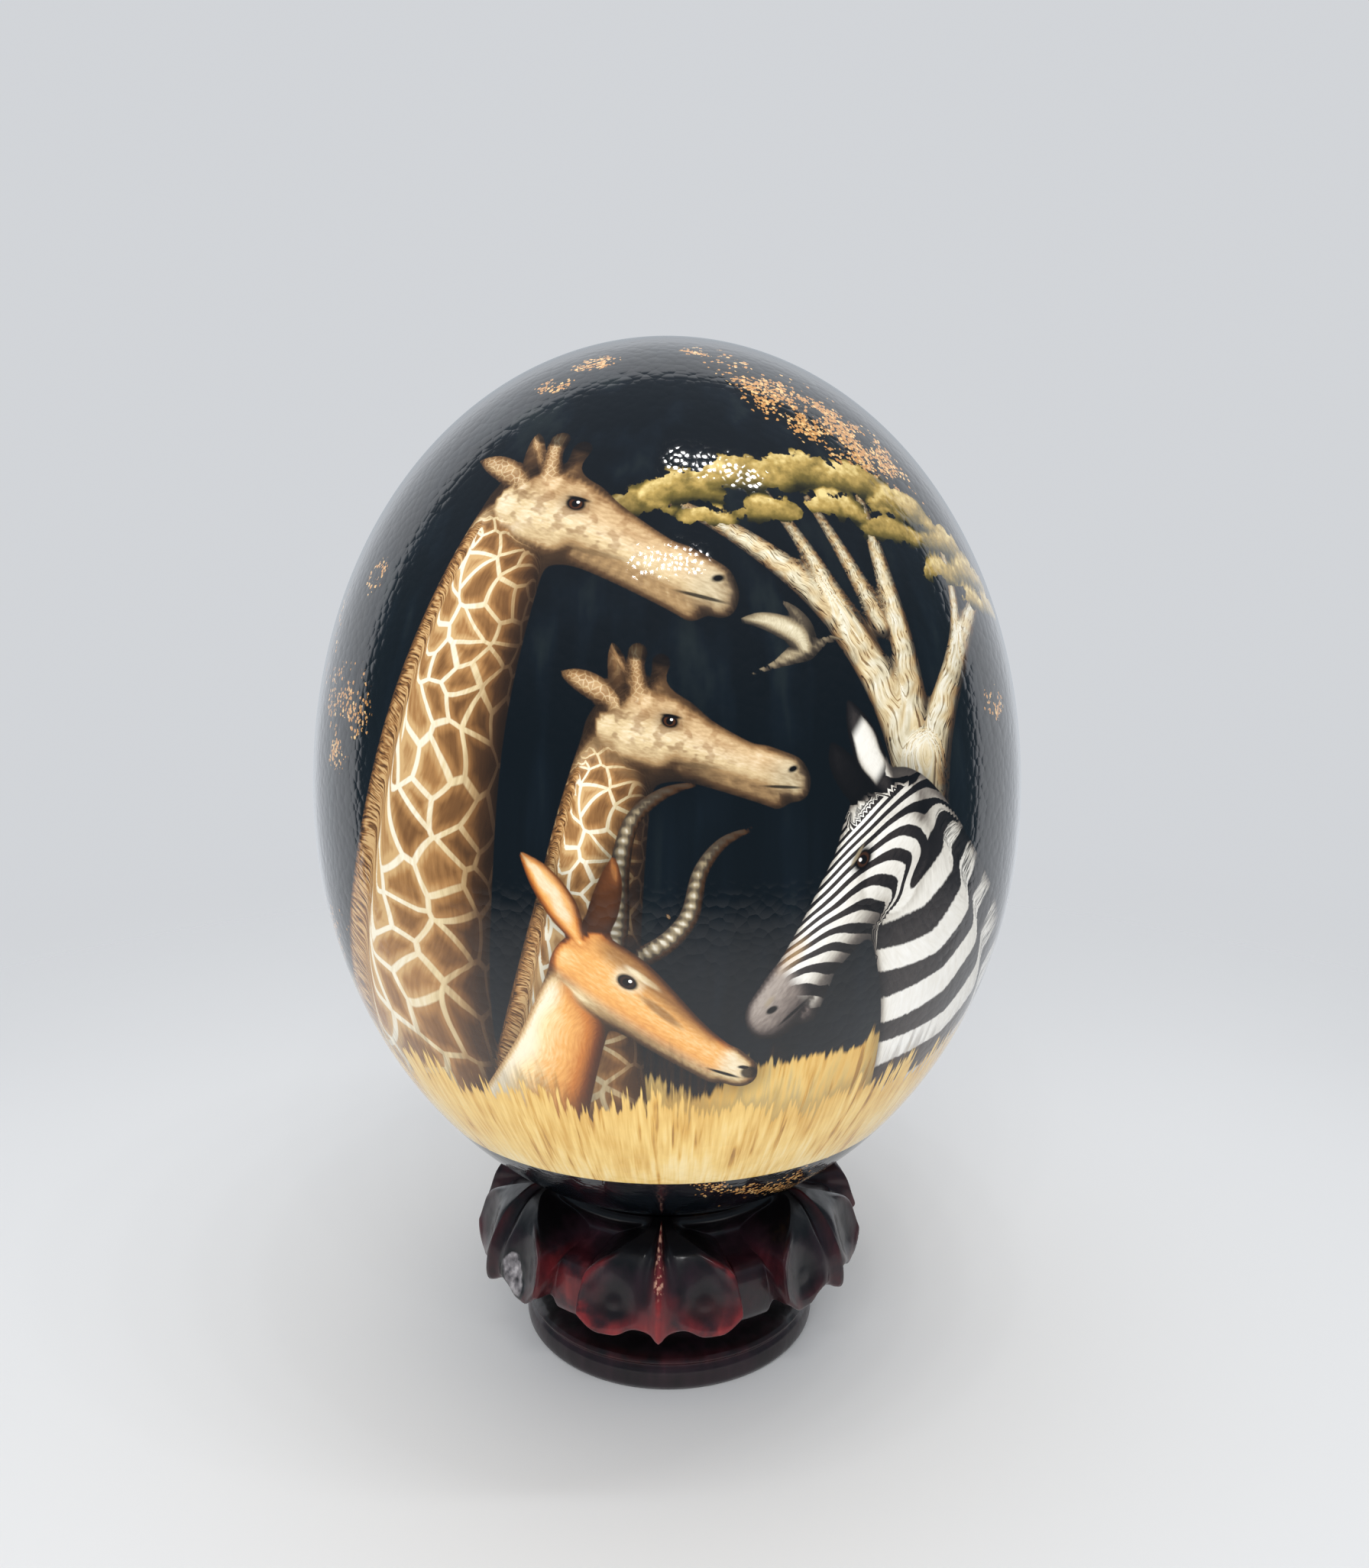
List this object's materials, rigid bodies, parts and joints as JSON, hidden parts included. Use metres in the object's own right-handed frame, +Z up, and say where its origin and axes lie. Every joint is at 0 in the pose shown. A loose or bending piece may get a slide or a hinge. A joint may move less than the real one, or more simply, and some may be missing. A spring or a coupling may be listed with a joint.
{
  "type": "decorated ostrich egg on a carved stand",
  "caption": "Lacquered ostrich egg standing upright, blunt end up, in the dished seat of a low carved wooden stand with hanging petals and a round moulded foot.",
  "frame": {"origin": "centre of the underside of the stand's round foot, where it rests", "axes": "+Z up through the stand and the egg's long axis; -Y is the front, towards which the main design faces"},
  "size_m": [0.126, 0.126, 0.184],
  "materials": {
    "lacquered_shell": "high-gloss clear lacquer over a dark blue-black ground with a painted cream and gold design and gold flecks, finely pored",
    "carved_rosewood": "dark plum-brown polished wood, worn to red along the carved edges"
  },
  "bodies": {
    "root": {"egg": "lacquered_shell", "stand": "carved_rosewood"}
  },
  "joints": []
}
